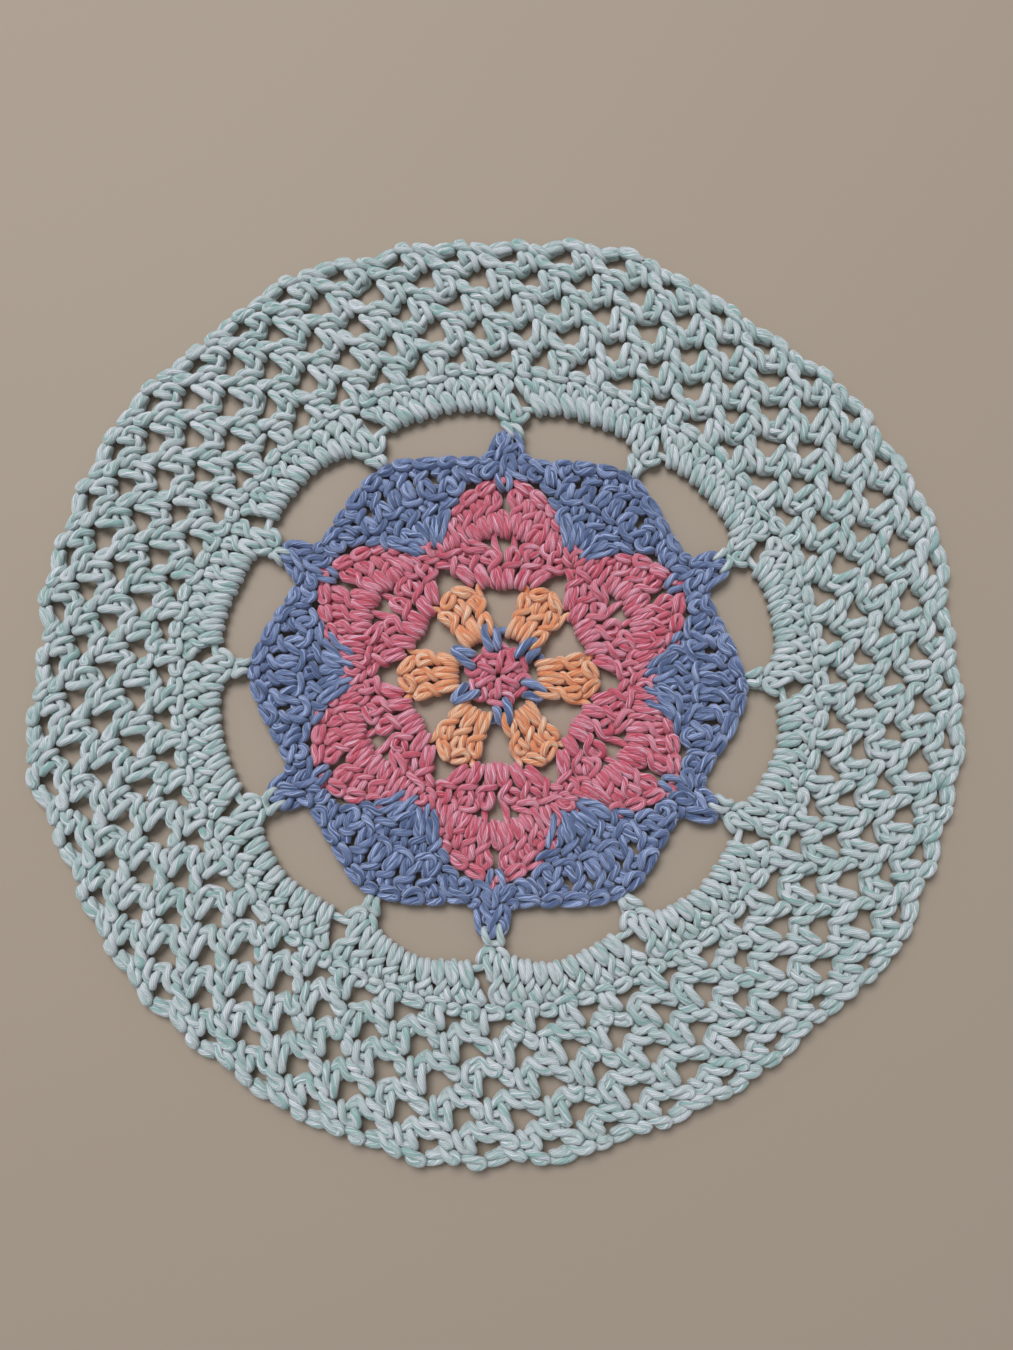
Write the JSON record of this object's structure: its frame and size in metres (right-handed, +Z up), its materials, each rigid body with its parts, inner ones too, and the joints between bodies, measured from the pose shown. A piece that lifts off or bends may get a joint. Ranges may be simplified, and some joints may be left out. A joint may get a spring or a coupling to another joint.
{
  "type": "round crochet coaster",
  "caption": "Round flat crochet coaster: a pink, orange and blue flower joined by short posts to a wide mint ring of open mesh.",
  "frame": {"origin": "middle of the coaster's outline, on the surface that it lies on", "axes": "+Z up through the cloth, +Y towards the far edge, along the middle line of the flower's upright petals to within two degrees"},
  "size_m": [0.1748, 0.1762, 0.003],
  "materials": {
    "pink_cotton": "matte soft-twist cotton yarn",
    "blue_cotton": "matte soft-twist cotton yarn",
    "orange_cotton": "matte soft-twist cotton yarn",
    "mint_cotton": "matte marled cotton yarn in white and mint plies"
  },
  "bodies": {
    "root": {"centre_pink": "pink_cotton", "collar_blue": "blue_cotton", "shell_orange_1": "orange_cotton", "shell_orange_2": "orange_cotton", "shell_orange_3": "orange_cotton", "shell_orange_4": "orange_cotton", "shell_orange_5": "orange_cotton", "shell_orange_6": "orange_cotton", "petals_pink": "pink_cotton", "border_blue": "blue_cotton", "ring_mint": "mint_cotton"}
  },
  "joints": []
}
